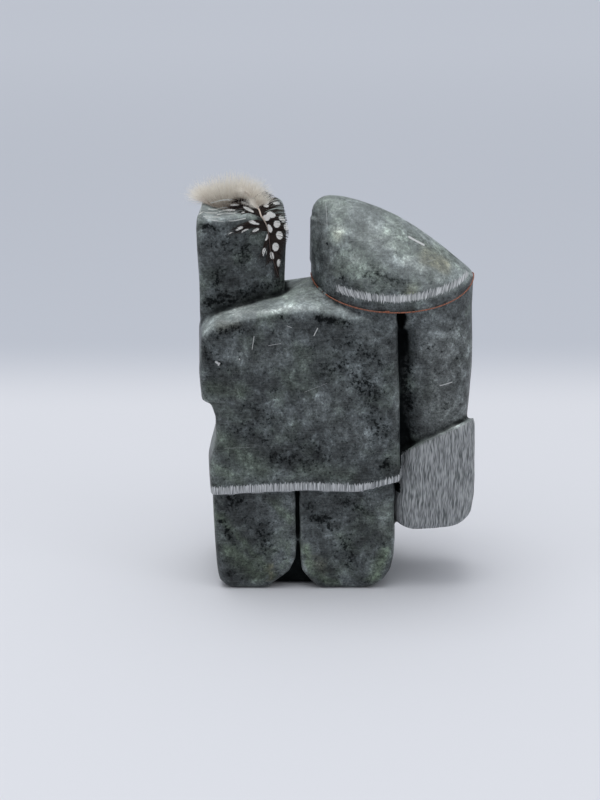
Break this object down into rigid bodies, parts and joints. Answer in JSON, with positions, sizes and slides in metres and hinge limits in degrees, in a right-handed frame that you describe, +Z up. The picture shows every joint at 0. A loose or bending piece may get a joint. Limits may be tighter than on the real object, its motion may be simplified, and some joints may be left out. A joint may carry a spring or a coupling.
{
  "type": "soapstone_fisherman_carving",
  "caption": "Small soapstone carving of a standing fisherman in a fur-trimmed parka, with a thin coppery thread round the hood's neck and a spotted feather glued on the hair.",
  "frame": {"origin": "middle of the underside of the whole part's box, on the surface that the soles stand on", "axes": "+Z up; -Y is the side in the picture, the back of the head and coat; +X is to the right of that side, where the hood and the hanging arm are; the carved face looks along +Y"},
  "size_m": [0.1102, 0.0572, 0.1631],
  "materials": {
    "soapstone_figure": "satin",
    "neck_thread": "satin",
    "spotted_feather": "matte"
  },
  "bodies": {
    "root": {"soapstone_figure": "soapstone_figure", "neck_thread": "neck_thread", "spotted_feather": "spotted_feather"}
  },
  "joints": []
}
